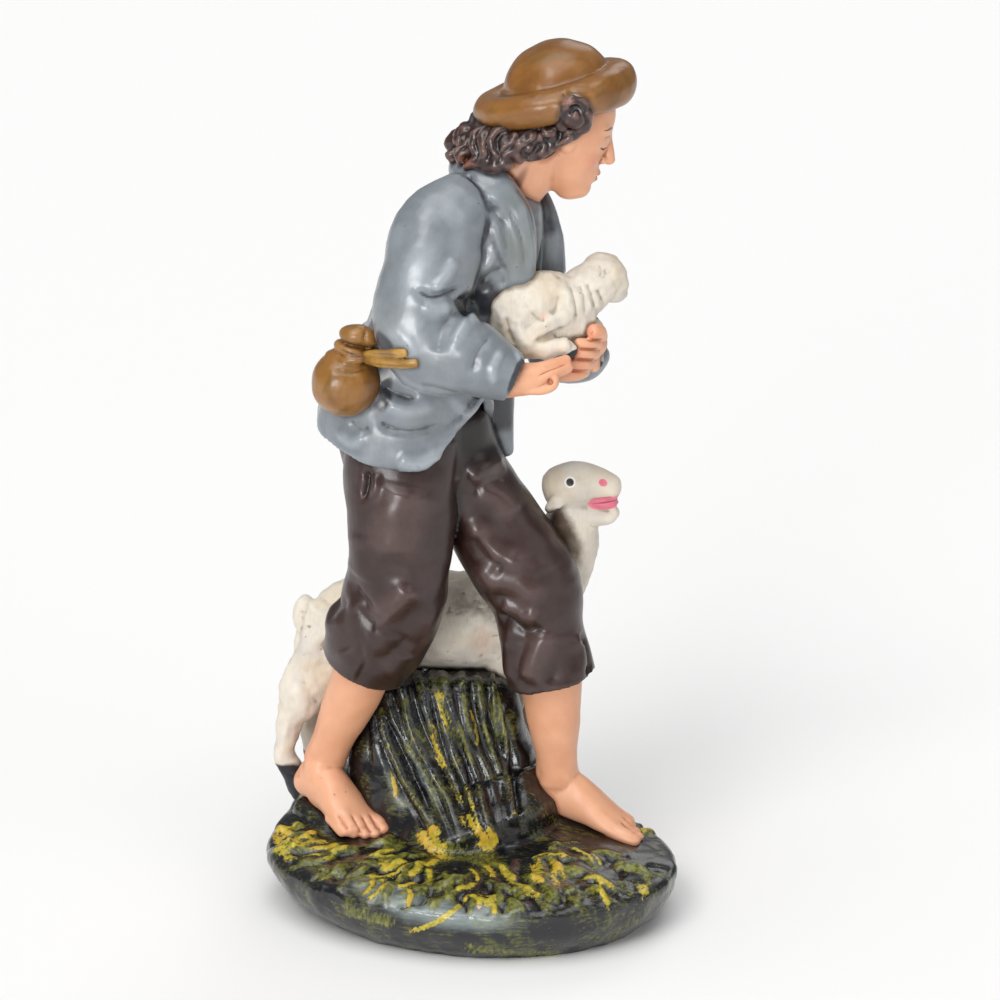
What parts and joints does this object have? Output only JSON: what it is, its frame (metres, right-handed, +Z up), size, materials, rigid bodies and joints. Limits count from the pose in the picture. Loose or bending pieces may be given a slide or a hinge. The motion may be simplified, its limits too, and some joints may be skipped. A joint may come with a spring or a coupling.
{
  "type": "nativity shepherd figurine",
  "caption": "Painted cast figurine of a striding shepherd who carries a lamb, with a ewe behind him, on a low grassy rock base.",
  "frame": {"origin": "centre of the base, on its flat underside", "axes": "+Z up; +X the way the shepherd walks; -Y his right side, which the picture shows"},
  "size_m": [0.1423, 0.1056, 0.2999],
  "materials": {
    "painted_cast": "satin oil paint over a plaster cast",
    "jacket_paint": "grey-blue satin paint with soft highlights",
    "breeches_paint": "dark brown satin paint",
    "skin_paint": "flesh paint, eggshell sheen",
    "fleece_paint": "cream paint, chalky, with grey in the creases",
    "felt_paint": "ochre brown satin paint",
    "hair_paint": "dark brown satin paint",
    "ground_paint": "near-black gloss paint, dry-brushed in olive and yellow"
  },
  "bodies": {
    "root": {"shepherd_figurine": "painted_cast"}
  },
  "joints": []
}
